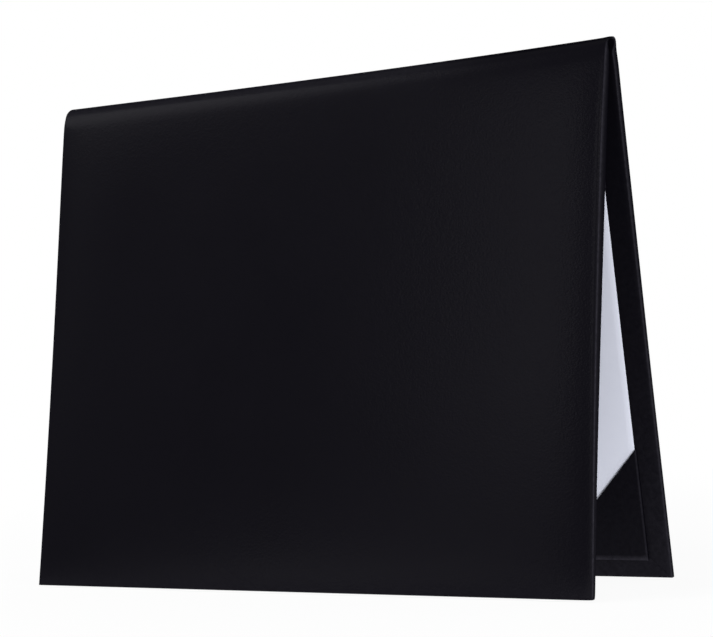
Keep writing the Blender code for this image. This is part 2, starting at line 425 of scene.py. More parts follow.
# %% Sheets and layers
def aim(form, direction):
    """Turn all faces of an open sheet the same way, with its first face towards a direction."""
    bmesh.ops.recalc_face_normals(form, faces=form.faces)
    form.normal_update()
    form.faces.ensure_lookup_table()
    if form.faces[0].normal.dot(direction) < 0:
        bmesh.ops.reverse_faces(form, faces=form.faces)


def layer(cover, columns, runs, inside, outside):
    """A closed solid between two surfaces, each given as the rise at x and run."""
    form = bmesh.new()
    rims = []
    for rise in (inside, outside):
        rows = spread(form, cover, columns, runs, rise)
        rim = rows[0] + [row[-1] for row in rows[1:]]
        rims.append(rim + rows[-1][-2::-1] + [row[0] for row in rows[-2:0:-1]])
    sew(form, rims[0], rims[1], closed=True)
    bmesh.ops.recalc_face_normals(form, faces=form.faces)
    return form

# %% From a form to a piece
SHARP_ANGLE = math.radians(40)
BEVEL_ANGLE = math.radians(60)


def apply_modifiers(piece):
    """Make what the modifiers give the piece's own mesh."""
    evaluated = piece.evaluated_get(bpy.context.evaluated_depsgraph_get())
    shape = bpy.data.meshes.new_from_object(evaluated)
    piece.modifiers.clear()
    piece.data = shape


def finish_piece(name, form, material, thickness=0.0, edge=0.0):
    """Make a piece: an open sheet gets its thickness behind its faces, and edges are softened."""
    shape = bpy.data.meshes.new(name)
    form.to_mesh(shape)
    form.free()
    piece = bpy.data.objects.new(name, shape)
    bpy.context.scene.collection.objects.link(piece)
    shape.materials.append(material)
    if thickness:
        body = piece.modifiers.new("Thickness", "SOLIDIFY")
        body.thickness = thickness
        body.offset = -1
    if edge:
        softened = piece.modifiers.new("Soft edges", "BEVEL")
        softened.width = edge
        softened.segments = 2
        softened.limit_method = "ANGLE"
        softened.angle_limit = BEVEL_ANGLE
    apply_modifiers(piece)
    piece.data.shade_smooth()
    piece.data.set_sharp_from_angle(angle=SHARP_ANGLE)
    print(name + ":", len(piece.data.polygons), "faces")
    return piece

# %% [markdown]
# ## Finishes
#
# A finish is a tree of shader nodes. Written out one node at a time it hides its own idea,
# so two small classes help: `Finish` adds any node in one line, and `Value` wraps a node's
# output, so that `0.4 + 0.05 * cloud` adds the Math nodes by itself. Colours never pass
# through Math, which would turn them grey: they go through Mix.

# %% A value in a shader
class Value:
    """A number that varies over a surface, which can be added and multiplied."""

    def __init__(self, finish, node, output=0):
        self.finish = finish
        self.node = node
        self.socket = node.outputs[output] if node.outputs else None

    def output(self, name):
        """Another output of the same node."""
        return Value(self.finish, self.node, name)

    def math(self, operation, first, second):
        """A Math node on two values or numbers."""
        return self.finish.add("ShaderNodeMath", {"operation": operation}, {0: first, 1: second})

    def __add__(self, other):
        return self.math("ADD", self, other)

    def __sub__(self, other):
        return self.math("SUBTRACT", self, other)

    def __rsub__(self, other):
        return self.math("SUBTRACT", other, self)

    def __mul__(self, other):
        return self.math("MULTIPLY", self, other)

    __radd__ = __add__
    __rmul__ = __mul__

    def highest(self, other):
        """The larger of the two."""
        return self.math("MAXIMUM", self, other)

# %% A finish under construction
class Finish:
    """A node tree under construction."""

    def __init__(self, tree):
        self.tree = tree
        tree.nodes.clear()

    def plug(self, socket, value):
        """Set a socket, or link it where the value comes from a node."""
        if isinstance(value, Value):
            self.tree.links.new(value.socket, socket)
        elif socket.type == "RGBA" and len(value) == 3:
            socket.default_value = (*value, 1.0)
        else:
            socket.default_value = value

    def add(self, kind, settings=None, sockets=None):
        """Add a node: its settings first, then the values or links of its sockets."""
        node = self.tree.nodes.new(kind)
        for name, value in (settings or {}).items():
            setattr(node, name, value)
        named = {socket.identifier: socket for socket in node.inputs}
        for key, value in (sockets or {}).items():
            self.plug(node.inputs[key] if isinstance(key, int) else named[key], value)
        return Value(self, node)

    def where(self):
        """Where a point of the surface lies, in metres."""
        return self.add("ShaderNodeTexCoord").output("Object")

    def cloud(self, where, size, detail, roughness=0.5):
        """Soft noise between 0 and 1, with blots of a size in metres."""
        return self.add("ShaderNodeTexNoise", {}, {
            "Vector": where, "Scale": 1 / size, "Detail": detail, "Roughness": roughness})

    def mix(self, factor, first, second):
        """A colour between two colours."""
        node = self.add("ShaderNodeMix", {"data_type": "RGBA"}, {
            "Factor_Float": factor, "A_Color": first, "B_Color": second})
        return node.output(2)

    def bump(self, height, depth):
        """A surface normal for a height between 0 and 1 and its depth in metres."""
        return self.add("ShaderNodeBump", {}, {"Height": height, "Distance": depth})

# %% New materials
def new_finish(name):
    """An empty material, and the tree that its nodes go into."""
    material = bpy.data.materials.new(name)
    material.use_nodes = True
    return material, Finish(material.node_tree)


def surface(finish, sockets):
    """The shader itself, with everything that is the same all over set on its own sockets."""
    shader = finish.add("ShaderNodeBsdfPrincipled", {}, sockets)
    finish.add("ShaderNodeOutputMaterial", {"target": "ALL"}, {"Surface": shader})

# %% [markdown]
# ### Leatherette
#
# The skin is a near-black, faintly violet sheet with a very fine pressed grain: shallow
# pebbles under a millimetre wide, a little uneven from place to place. It is satin, so
# lamps show only as broad soft bands. Cells from a Voronoi texture make the pebbles, with
# noise to break them up. A picture of leather would do as well, but a procedural grain has
# no seams and keeps its scale on every piece.
#
# Folded edges, the ridges of the rims and the fold's shoulder get a painted highlight: a
# paler colour where the real cover catches the lamps, with a painted sheen along the bottom
# edges, and the turned-in borders are painted lighter towards the table. How much is written
# on the mesh, as an attribute, because only the mesh knows where its ridges run, and soft
# noise makes the painted light patchy. A pressed grain also loses its shine at low angles,
# where the pebbles hide one another, so the satin skin passes into a dull one there.

# %% Leatherette
PEBBLE = 0.0009
FINE_GRAIN = 0.0025
GRAIN_DEPTH = 0.00006
PATCH = 0.045
# Size of the specks that break up the painted highlight.
PAINTED_LIGHT_SPECK = 0.0020
TONE_OF_PATCHES = 0.65
TONE_OF_GRAIN = 0.35
# Even and speckled shares of the painted highlight.
PAINTED_LIGHT_EVENLY = 0.4
PAINTED_LIGHT_IN_SPECKS = 1.2
SMOOTHER = 0.04
ROUGHER_IN_PATCHES = 0.05
ROUGHER_IN_GRAIN = 0.04
PEBBLE_HEIGHT = 0.6
FINE_HEIGHT = 0.8
COOL_SHEEN = (0.94, 0.92, 1.0)
LOW_ANGLE_START = 0.30
LOW_ANGLE_END = 0.65


def make_leatherette(name, dark, light, painted_highlight_colour, roughness, shine):
    """Pebbled skin between two dark colours, with a paler painted highlight where the mesh's amount of painted
    light is high.
    """
    material, finish = new_finish(name)
    where = finish.where()
    pebbles = finish.add("ShaderNodeTexVoronoi", {"feature": "SMOOTH_F1"}, {
        "Vector": where, "Scale": 1 / PEBBLE, "Smoothness": 0.6})
    uneven = finish.cloud(where, PATCH, detail=3.0)
    fine = finish.cloud(where, FINE_GRAIN, detail=3.0, roughness=0.6)
    speckled = finish.cloud(where, PAINTED_LIGHT_SPECK, detail=1.0)
    # The mesh's amount of painted light: a paler colour stands in for highlights and sheen.
    wear = finish.add("ShaderNodeAttribute", {"attribute_name": "wear"}).output("Fac")
    own_tone = finish.mix(TONE_OF_PATCHES * uneven + TONE_OF_GRAIN * fine, dark, light)
    painted_share = wear * (PAINTED_LIGHT_IN_SPECKS * speckled + PAINTED_LIGHT_EVENLY)
    rough = (roughness - SMOOTHER) + ROUGHER_IN_PATCHES * uneven + ROUGHER_IN_GRAIN * fine
    skin = {
        "Base Color": finish.mix(painted_share, own_tone, painted_highlight_colour),
        "Roughness": rough,
        "Specular Tint": COOL_SHEEN,
        "Normal": finish.bump(PEBBLE_HEIGHT * pebbles + FINE_HEIGHT * fine, GRAIN_DEPTH),
    }
    satin = finish.add("ShaderNodeBsdfPrincipled", {}, {**skin, "Specular IOR Level": shine})
    dull = finish.add("ShaderNodeBsdfPrincipled", {}, {**skin, "Specular IOR Level": 0.0})
    turned_away = finish.add("ShaderNodeLayerWeight", {}, {"Blend": 0.5}).output("Facing")
    low_angle = finish.add("ShaderNodeMapRange", {"interpolation_type": "SMOOTHSTEP"}, {
        "Value": turned_away, "From Min": LOW_ANGLE_START, "From Max": LOW_ANGLE_END})
    shown = finish.add("ShaderNodeMixShader", {}, {0: low_angle, 1: satin, 2: dull})
    finish.add("ShaderNodeOutputMaterial", {"target": "ALL"}, {"Surface": shown})
    return material


# The third colour is the pale colour of the painted highlights and painted sheen.
leatherette = make_leatherette(
    "satin_leatherette", dark=(0.0021, 0.0019, 0.0032), light=(0.0030, 0.0027, 0.0043),
    painted_highlight_colour=(0.0235, 0.0223, 0.0290), roughness=0.24, shine=0.016)
print("leatherette pebbles:", PEBBLE * 1000, "mm")

# %% [markdown]
# ### Paper, board and foam
#
# The inner panels are covered with black lining paper, duller than the skin. The sheet is
# plain white card with the faint mottling of pressed pulp. Greyboard and foam are hidden
# inside the covers, but they get their own finish too: long grey fibres, and open cells.

# %% Pressed pulp
BLOT_IN_FIBRES = 12
ROUGHER_IN_FIBRES = 0.06


def make_paper(name, dark, light, fibre, roughness, shine, relief):
    """Pressed pulp: soft mottling and fine fibres."""
    material, finish = new_finish(name)
    where = finish.where()
    blots = finish.cloud(where, BLOT_IN_FIBRES * fibre, detail=4.0)
    fibres = finish.cloud(where, fibre, detail=3.0, roughness=0.65)
    surface(finish, {
        "Base Color": finish.mix(0.5 * blots + 0.5 * fibres, dark, light),
        "Roughness": roughness + ROUGHER_IN_FIBRES * fibres,
        "Specular IOR Level": shine,
        "Normal": finish.bump(fibres, relief),
    })
    return material


lining_paper = make_paper("lining_paper", (0.0040, 0.0037, 0.0055), (0.0065, 0.0060, 0.0080),
                          fibre=0.0006, roughness=0.60, shine=0.04, relief=0.00003)
white_card = make_paper("blank_card", (0.740, 0.765, 0.880), (0.790, 0.812, 0.925),
                        fibre=0.0005, roughness=0.72, shine=0.30, relief=0.000015)
greyboard = make_paper("grey_fibres", (0.170, 0.155, 0.135), (0.270, 0.250, 0.220),
                       fibre=0.0008, roughness=0.85, shine=0.30, relief=0.00006)
print("papers:", [paper.name for paper in (lining_paper, white_card, greyboard)])

# %% Foam
FOAM_CELL = 0.0008
FOAM_RELIEF = 0.0002
FOAM_ROUGHNESS = 0.95


def make_foam(name, dark, light):
    """Pale foam with open cells."""
    material, finish = new_finish(name)
    cells = finish.add("ShaderNodeTexVoronoi", {}, {
        "Vector": finish.where(), "Scale": 1 / FOAM_CELL})
    surface(finish, {
        "Base Color": finish.mix(cells, dark, light),
        "Roughness": FOAM_ROUGHNESS,
        "Normal": finish.bump(cells, FOAM_RELIEF),
    })
    return material


foam = make_foam("open_foam", dark=(0.50, 0.49, 0.45), light=(0.68, 0.67, 0.63))
print("foam cells:", FOAM_CELL * 1000, "mm")

# %% [markdown]
# ## The padded skins
#
# Each cover's leatherette is pulled tight over a millimetre of foam and turned in round the
# board's edges. Where a tight skin leaves an edge, its pull balances the push of the foam,
# so the surface rises quickly at first and then levels off. That shape is an exponential,
# and multiplying the four edges' curves rounds the corners too. The foam is a little fuller
# below the fold's left end. A cloth simulation would have nothing to drape here, since the
# padding is so thin.

# %% The padding
ROLL = 0.0009
PADDING_REACH = 0.0100
FULL_CORNER = 0.70
FULL_CORNER_REACH = 0.7
FULL_CORNER_ACROSS = (-0.130, -0.070)
FULL_CORNER_RUN = (0.05, 0.15)

board_room = back.measure("back_board")
BOARD_TOP_RUN = run_at(board_room["top"])


def padding(x, run):
    """Rise of the tight skin over the foam, which is fuller at the fold's left end."""
    at_left = 1 - ease(x, *FULL_CORNER_ACROSS)
    rise = PADDING * (1 + FULL_CORNER * at_left * (1 - ease(run, *FULL_CORNER_RUN)))
    fold_reach = PADDING_REACH * (1 + FULL_CORNER_REACH * at_left)
    for distance, reach in ((HALF_WIDTH - ROLL - abs(x), PADDING_REACH),
                            (LENGTH - ROLL - run, PADDING_REACH),
                            (run - FOLD_RUN, fold_reach)):
        rise *= 1 - math.exp(-max(0.0, distance) / reach)
    return rise


def face_rise(cover, x, run):
    """Outer side of a cover's skin."""
    return padding(x, run) + rim_outside(cover, x, run)


def leaf_rise(cover, x, run):
    """Inner side of the turned-in leaf: the bare fold is thinner than the board."""
    depth = between(FOLD_THICKNESS, EDGE_THICKNESS, ease(run, FOLD_RUN, BOARD_TOP_RUN))
    return -depth - rim_inside(cover, x, run)


print("padding in the middle of a cover:", round(1000 * padding(0.0, LENGTH / 2), 2), "mm")

# %% [markdown]
# ### Where light is painted on the skin
#
# The skin is painted paler where light falls on the real cover: a painted sheen over the
# fold, painted highlights along the ridges of the rims, most at the right, a painted
# brightening of the turned-in borders towards the table and a painted sheen along the bottom
# edges. Each amount is a number from 0 to 1 at each point of the mesh, and the leatherette
# reads it. A noise alone could not know where the ridges are.

# %% Painted sheen of the face
# Painted sheen on the fold's shoulder and along the bottom edge, as a paler colour.
PAINTED_FOLD_SHEEN = 0.32
PAINTED_FOLD_SHEEN_REACH = 0.009
PAINTED_FOLD_SHEEN_FADE = (0.65, 0.85)
PAINTED_BOTTOM_SHEEN = 0.15
PAINTED_BOTTOM_SHEEN_REACH = 0.005


def paint_light(form, row, amounts):
    """Note how much painted light the leatherette gets at the points of a row."""
    wear = form.verts.layers.float.get("wear")
    for vertex, amount in zip(row, amounts):
        vertex[wear] = amount


def painted_face_sheen(x, run):
    """Painted sheen of a face: along the fold except at its right end, and along the bottom edge."""
    fold = PAINTED_FOLD_SHEEN * (1 - ease(share_right(x), *PAINTED_FOLD_SHEEN_FADE)) * bell(run, PAINTED_FOLD_SHEEN_REACH)
    return fold + PAINTED_BOTTOM_SHEEN * math.exp((run - LENGTH) / PAINTED_BOTTOM_SHEEN_REACH)


# Amount of painted sheen on top of the fold.
print("wear on top of the fold:", round(painted_face_sheen(0.0, 0.0), 2))

# %% Painted light of the rim
ROLL_STEPS = 12
# Painted highlights along the rims' ridges, painted brightening of the turned-in borders towards the table, and
# painted light on the fold's ends.
PAINTED_RIDGE_HIGHLIGHT = {"front": 1.0, "back": 0.6}
RIDGE_STEP = {"front": 2.0, "back": 9.0}
RIDGE_STEP_MORE = {"front": 2.0, "back": 0.0}
RIDGE_STEP_CURVE = 1.5
RIDGE_SPREAD = {"front": 1.7, "back": 2.2}
PAINTED_SIDE_HIGHLIGHT = {"left": 0.15, "bottom": 0.2, "right": 0.70}
PAINTED_EAR_LIGHT = 0.45
PAINTED_EAR_LIGHT_RUN = (0.0035, 0.0090)
PAINTED_BORDER_LIGHT = 0.30


def painted_rim_light(cover, side, run, step):
    """Painted light of a rim: a painted highlight along its ridge, a painted brightening of the turned-in border
    towards the table, and a little painted light over the whole end of the fold.
    """
    higher = (1 - share_down(run)) ** RIDGE_STEP_CURVE
    ridge = RIDGE_STEP[cover.name] + RIDGE_STEP_MORE[cover.name] * higher
    along = PAINTED_SIDE_HIGHLIGHT[side] * PAINTED_RIDGE_HIGHLIGHT[cover.name] * bell(step - ridge, RIDGE_SPREAD[cover.name])
    along += PAINTED_BORDER_LIGHT * share_down(run) * step / ROLL_STEPS
    ear = PAINTED_EAR_LIGHT * math.sin(math.pi * step / ROLL_STEPS) ** 2 if cover is back else 0.0
    return between(along, ear, 1 - ease(run, *PAINTED_EAR_LIGHT_RUN))


# Amount of painted highlight on the front's right ridge.
print("wear on the front's right ridge:", round(painted_rim_light(front, "right", LENGTH, 2), 2))

# %% [markdown]
# ### Rolling the edges and turning them in
#
# The face is a grid. Its left, bottom and right sides then go on as rings: round the rim,
# and back along the inside as the turned-in leaf, which is slit along the mitre at the
# lower corners. The sheet gets its real thickness at the end. Bending a flat grid with
# modifiers would stretch the corners, where the real skin is cut and folded.

# %% The turned sides
SQUARENESS = 0.50

Spot = namedtuple("Spot", "side across down run")


def turned_sides(columns, runs):
    """Spots round the three turned sides, with their shares of the half width and the length."""
    left = [Spot("left", -1.0, run / runs[-1], run) for run in runs]
    bottom = [Spot("bottom", x / columns[-1], 1.0, LENGTH) for x in columns[1:-1]]
    right = [Spot("right", 1.0, run / runs[-1], run) for run in reversed(runs)]
    return left, bottom, right


def turned_point(cover, spot, inset, height, mitre=(0.0, 0.0)):
    """The point of a spot at an inset from the edge: height is 0 on the leaf and 1 on the face."""
    x = spot.across * (HALF_WIDTH - inset - mitre[0])
    run = spot.down * (LENGTH - inset - mitre[1])
    rise = between(leaf_rise(cover, x, run), face_rise(cover, x, run), height)
    return place(cover, x, run, rise)


def bulge(value):
    """Sine or cosine of a rolled edge, squared up a little."""
    return math.copysign(abs(value) ** SQUARENESS, value)


def roll(step):
    """Inset of a rolled edge, and its height from 1 on the outer side to 0 on the inner side."""
    angle = math.pi / 2 - math.pi * step / ROLL_STEPS
    return ROLL * (1 - bulge(math.cos(angle))), (1 + bulge(math.sin(angle))) / 2


print("inset of the roll at its start:", round(1000 * roll(0)[0], 2), "mm")

# %% The rim and the turned-in leaf
TURN_IN = 0.016
TURN_INSETS = (0.0025, 0.0040, 0.0065, 0.0100, TURN_IN)
HALF_MITRE = 0.00006


def roll_rim(cover, form, ring, spots):
    """The round of the rim, from the face to its inner side."""
    paint_light(form, ring, [painted_rim_light(cover, spot.side, spot.run, 0) for spot in spots])
    for step in range(1, ROLL_STEPS + 1):
        inset, height = roll(step)
        following = add_row(form, [turned_point(cover, spot, inset, height) for spot in spots])
        paint_light(form, following, [painted_rim_light(cover, spot.side, spot.run, step) for spot in spots])
        sew(form, ring, following)
        ring = following
    return ring


def turn_in(cover, form, row, spots, mitre):
    """One side of the leaf that is glued to the board."""
    for inset in TURN_INSETS:
        following = add_row(form, [turned_point(cover, spot, inset, 0.0, mitre) for spot in spots])
        # The turned-in leaf is painted lighter towards the table: painted light from below.
        paint_light(form, following, [PAINTED_BORDER_LIGHT * spot.down for spot in spots])
        sew(form, row, following)
        row = following


print("turned in by", TURN_IN * 1000, "mm")

# %% The padded skins
SKIN = 0.0005
FIRST_STEP = 0.0005
RUN_GROWTH = 0.12
BLEND_START_DROP = 0.003
BLEND_END_IN = 0.0044


def padded_skin(cover):
    """The leatherette of a cover and of its half of the fold."""
    side = HALF_WIDTH - ROLL
    columns = graded(-side, side, FIRST_STEP, FIRST_STEP)
    runs = graded(0.0, LENGTH - ROLL, FIRST_STEP, FIRST_STEP, growth=RUN_GROWTH)
    form = bmesh.new()
    form.verts.layers.float.new("wear")
    rows = spread(form, cover, columns, runs, lambda x, run: face_rise(cover, x, run))
    for row, run in zip(rows, runs):
        # The face gets its painted sheen.
        paint_light(form, row, [painted_face_sheen(x, run) for x in columns])
    left, bottom, right = turned_sides(columns, runs)
    ring = [row[0] for row in rows] + rows[-1][1:-1] + [row[-1] for row in reversed(rows)]
    ring = roll_rim(cover, form, ring, left + bottom + right)
    low_left = len(left) - 1
    low_right = len(left) + len(bottom)
    turn_in(cover, form, ring[:low_left + 1], left, (0.0, HALF_MITRE))
    foot = left[-1:] + bottom + right[:1]
    turn_in(cover, form, ring[low_left:low_right + 1], foot, (HALF_MITRE, 0.0))
    turn_in(cover, form, ring[low_right:], right, (0.0, HALF_MITRE))
    aim(form, Vector((0, 0, 1)))
    return finish_piece(cover.name + "_padded_cover", form, leatherette, thickness=SKIN)


def bend_over_crease(piece, cover):
    """Bake the piece's place into its mesh; where a bend over the crease would start and end is worked out but not
    used.
    """
    start = Vector((0, cover.crease.y + cover.side * BLEND_START_DROP * math.sin(LEAN),
                    cover.crease.z - BLEND_START_DROP * math.cos(LEAN)))
    end = Vector((0, cover.crease.y - cover.side * BLEND_END_IN, cover.crease.z))
    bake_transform(piece)


for cover in (front, back):
    skin = padded_skin(cover)
    bend_over_crease(skin, cover)
    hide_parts(cover.name + "_cover_skin", "spine_cover")

# %% [markdown]
# ## What the skin covers
#
# Under the skin lie the foam and the greyboard, and inside the fold a lining strip joins the
# covers. None of them shows in the photograph, but the covers' rims and the open fold only
# look right when the real layers fill them. Foam takes its upper side from the skin above
# it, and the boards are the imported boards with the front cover's bow.

# %% Foam
HAIR = 0.00005
FOAM_STEP = 0.002
FOAM_WIDEST = 0.008


def foam_top(cover, x, run):
    """Just under the skin."""
    return face_rise(cover, x, run) - SKIN - HAIR


def board_top(cover, x, run):
    """The board's packed face, pressed down where the skin lies lower."""
    return min(board_room["outside"], foam_top(cover, x, run) - 2 * HAIR)


def foam_pad(cover):
    """The foam of a cover, between its board and its skin."""
    node = cover.name + "_foam_pad"
    room = cover.measure(node)
    columns = graded(room["left"], room["right"], FOAM_STEP, FOAM_STEP, widest=FOAM_WIDEST)
    runs = graded(BOARD_TOP_RUN, run_at(room["bottom"]), FOAM_STEP, FOAM_STEP, widest=FOAM_WIDEST)
    form = layer(cover, columns, runs, lambda x, run: board_top(cover, x, run) + HAIR,
                 lambda x, run: foam_top(cover, x, run))
    pad = finish_piece(cover.name + "_foam_layer", form, foam)
    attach(pad, cover.body)
    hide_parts(node)


foam_depth = foam_top(back, 0.0, LENGTH / 2) - board_top(back, 0.0, LENGTH / 2)
print("foam in the middle of a cover:", round(1000 * foam_depth, 2), "mm")

# %% Boards and panels
LAYER_STEP = 0.003
LAYER_WIDEST = 0.012


def board_base(cover, x, run):
    """The board's packed back, pressed in where its rim is pinched."""
    return max(board_room["inside"], leaf_rise(cover, x, run) + SKIN + HAIR)


def flat_layer(cover, node, name, material, edge, inside=None, outside=None):
    """A board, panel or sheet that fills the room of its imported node."""
    room = cover.measure(node)
    columns = graded(room["left"], room["right"], LAYER_STEP, LAYER_STEP, widest=LAYER_WIDEST)
    runs = graded(run_at(room["top"]), run_at(room["bottom"]), LAYER_STEP, LAYER_STEP,
                  widest=LAYER_WIDEST)
    form = layer(cover, columns, runs,
                 lambda x, run: inside(cover, x, run) if inside else room["inside"],
                 lambda x, run: outside(cover, x, run) if outside else room["outside"])
    piece = finish_piece(name, form, material, edge=edge)
    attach(piece, cover.body)
    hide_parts(node)


board_depth = board_room["outside"] - board_room["inside"]
print("board:", round(1000 * board_depth, 2), "mm")

# %% Lining of the fold
GLUE = 0.0002
LINING_STEP = 0.004
LINING_LAST_RUN_STEP = 0.002
LINING_WIDEST_RUN_STEP = 0.003


def fold_lining(cover):
    """The strip inside the fold, from its middle line to under the inner panel."""
    strip = cover.measure(cover.name + "_hinge_strip")
    side = HALF_WIDTH - TURN_IN - GLUE
    columns = graded(-side, side, LINING_STEP, LINING_STEP, widest=LAYER_WIDEST)
    runs = graded(0.0, run_at(strip["bottom"]), FIRST_STEP, LINING_LAST_RUN_STEP,
                  widest=LINING_WIDEST_RUN_STEP)
    form = bmesh.new()
    spread(form, cover, columns, runs, lambda x, run: leaf_rise(cover, x, run))
    aim(form, Vector((0, 0, -1)))
    lining = finish_piece(cover.name + "_fold_lining", form, leatherette, thickness=SKIN)
    bend_over_crease(lining, cover)
    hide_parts(cover.name + "_hinge_strip", "spine_lining")


print("lining of the fold:", round(2000 * (HALF_WIDTH - TURN_IN - GLUE), 1), "mm long")

# %% Fill both covers
for cover in (front, back):
    foam_pad(cover)
    flat_layer(cover, cover.name + "_board", cover.name + "_greyboard", greyboard,
               edge=0.0001, inside=board_base, outside=board_top)
    flat_layer(cover, cover.name + "_inner_panel", cover.name + "_lined_panel", lining_paper,
               edge=0.0002)
    fold_lining(cover)

# %% [markdown]
# ## The sheet
#
# The sheet is a letter-size piece of white card, blank, pushed into the right side of the
# pockets and standing in the lower ones. Card this stiff stays flat between four corners,
# so it is a thin layer and not a draped cloth.

# %% The sheet
flat_layer(back, "insert_sheet", "blank_sheet", white_card, edge=0.00005)

# %% [markdown]
# ## Corner pockets
#
# Each pocket is a triangle of leatherette, folded round two edges of the inner panel and
# glued behind it. Its two folded edges get thin painted highlights and its face a faint
# painted sheen, and its open long side stands up a little where the sheet slides in, less at
# the upper pockets, which the front cover nearly touches when closed. The triangle is made
# of V-shaped rows: they shrink towards the middle of the long side, and outwards they go
# round the panel's edge and behind it, so the corner gets its mitre by itself.

# %% A triangle round a corner
ARM_POINTS = 22

panel = back.measure("back_inner_panel")


class Corner:
    """A corner of the back cover's inner panel, with the room that its pocket fills."""

    def __init__(self, height, side):
        self.name = height + "_" + side
        self.room = back.measure("corner_pocket_" + self.name)
        self.to_side = 1 if side == "right" else -1
        self.upward = 1 if height == "lower" else -1
        self.x = panel[side]
        self.drop = panel["bottom"] if height == "lower" else panel["top"]
        self.lip = abs(self.room[side] - self.x)
        width = self.room["right"] - self.room["left"]
        tall = self.room["bottom"] - self.room["top"]
        # the long side cuts both edges of the corner, and its line runs on over the lips
        self.leg_along = width - self.lip * (width + tall) / tall
        self.leg_up = tall - self.lip * (width + tall) / width
        self.deepest = self.leg_along * self.leg_up / (self.leg_along + self.leg_up)

    def point(self, across, up, rise):
        """The point at two distances from the corner, into the panel."""
        x = self.x - self.to_side * across
        return place(back, x, run_at(self.drop - self.upward * up), rise)

    def row(self, inset, rise):
        """A V of points round the corner, from one end of the long side to the other."""
        along = self.leg_along * (1 - inset / self.leg_up) - inset
        up = self.leg_up * (1 - inset / self.leg_along) - inset
        steps = [step / ARM_POINTS for step in range(1, ARM_POINTS + 1)]
        places = [(inset + along * step, inset) for step in reversed(steps)] + [(inset, inset)]
        places += [(inset, inset + up * step) for step in steps]
        return [self.point(across, up, rise) for across, up in places]


legs = Corner("lower", "right")
print("pocket legs:", round(1000 * legs.leg_along, 1), "and", round(1000 * legs.leg_up, 1), "mm")

# %% The pocket's face
POCKET_ROWS = 14
POCKET_ROLL = 0.0008
PUFF_CURVE = 0.7
# Painted highlights on the pocket's folds and a faint painted sheen over its face.
PAINTED_BOTTOM_FOLD_HIGHLIGHT = 0.8
PAINTED_POCKET_SHEEN = 0.13


def painted_fold_highlights(side_painted_light):
    """Painted light of a V: its bottom arm is a fold with a painted highlight, and its side arm gets the painted
    light given.
    """
    return [PAINTED_BOTTOM_FOLD_HIGHLIGHT] * (ARM_POINTS + 1) + [side_painted_light] * ARM_POINTS


def pocket_face(form, corner, puff):
    """The triangle that shows, from the middle of its long side out to its folds."""
    level = corner.room["inside"]
    folded = POCKET_ROLL - corner.lip
    middle = form.verts.new(corner.point(corner.deepest, corner.deepest, level - puff))
    row = None
    for index in range(1, POCKET_ROWS + 1):
        inward = 1 - index / POCKET_ROWS
        inset = folded + (corner.deepest - folded) * inward
        raised = puff * math.sin(math.pi / 2 * inward) ** PUFF_CURVE
        following = add_row(form, corner.row(inset, level - raised))
        paint_light(form, following, [PAINTED_POCKET_SHEEN] * len(following))
        if row:
            sew(form, row, following)
        else:
            for first, second in zip(following, following[1:]):
                form.faces.new((middle, second, first))
        row = following
    paint_light(form, row, painted_fold_highlights(PAINTED_POCKET_SHEEN))
    return row


print("rows of a pocket's face:", POCKET_ROWS)

# %% The pocket's folds and flaps
# Painted highlight on the pocket's side fold.
PAINTED_SIDE_FOLD_HIGHLIGHT = 0.35
POCKET_FLAP = 0.012


def pocket_back(form, corner, row):
    """The folds round the panel's two edges, and the flaps that are glued behind it."""
    inside = corner.room["inside"]
    outside = corner.room["outside"]
    centre = (inside + outside) / 2
    for step in range(1, ROLL_STEPS + 1):
        angle = math.pi / 2 - math.pi * step / ROLL_STEPS
        inset = POCKET_ROLL * (1 - bulge(math.cos(angle))) - corner.lip
        rise = centre + (inside - centre) * bulge(math.sin(angle))
        following = add_row(form, corner.row(inset, rise))
        if step < ROLL_STEPS / 2:
            paint_light(form, following, painted_fold_highlights(PAINTED_SIDE_FOLD_HIGHLIGHT))
        sew(form, row, following)
        row = following
    for inset in (POCKET_FLAP / 3, POCKET_FLAP):
        following = add_row(form, corner.row(inset, outside))
        sew(form, row, following)
        row = following


print("flaps behind the panel:", 1000 * POCKET_FLAP, "mm")

# %% Four pockets
POCKET = 0.0004
POCKET_PUFF = {"lower": 0.0004, "upper": 0.0001}


def corner_pocket(height, side):
    """One folded pocket."""
    corner = Corner(height, side)
    form = bmesh.new()
    form.verts.layers.float.new("wear")
    row = pocket_face(form, corner, POCKET_PUFF[height])
    pocket_back(form, corner, row)
    aim(form, Vector((0, -1, 0)))
    pocket = finish_piece("folded_pocket_" + corner.name, form, leatherette, thickness=POCKET)
    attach(pocket, back.body)
    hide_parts("corner_pocket_" + corner.name)


for height in ("lower", "upper"):
    for side in ("left", "right"):
        corner_pocket(height, side)

# %% [markdown]
# ## Stage
#
# The cover stands on a pale floor before a white backdrop. The backdrop is the world
# itself, white to whoever looks at it, while the light that it sheds is plainer. The floor
# is lit as any floor, so it keeps the cover's shadow, and it fades to the backdrop's white
# further out, so that no horizon shows. Like a light table it also glows for everything
# but the eye: that is the even light on the lower borders and inside the tent.

# %% Floor
HALF_FLOOR = 6.0
FLOOR_NEAR = 0.25
FLOOR_FAR = 0.70
FLOOR_SHADE = 0.07
FLOOR_GLOW = 0.90
FLOOR_GREY = (0.90, 0.90, 0.90)
WHITE = (1.0, 1.0, 1.0)


def seen_directly(finish):
    """1 for what the camera sees, also in a reflection or through glass."""
    rays = finish.add("ShaderNodeLightPath")
    return rays.output("Is Camera Ray").highest(
        rays.output("Is Glossy Ray").highest(rays.output("Is Transmission Ray")))


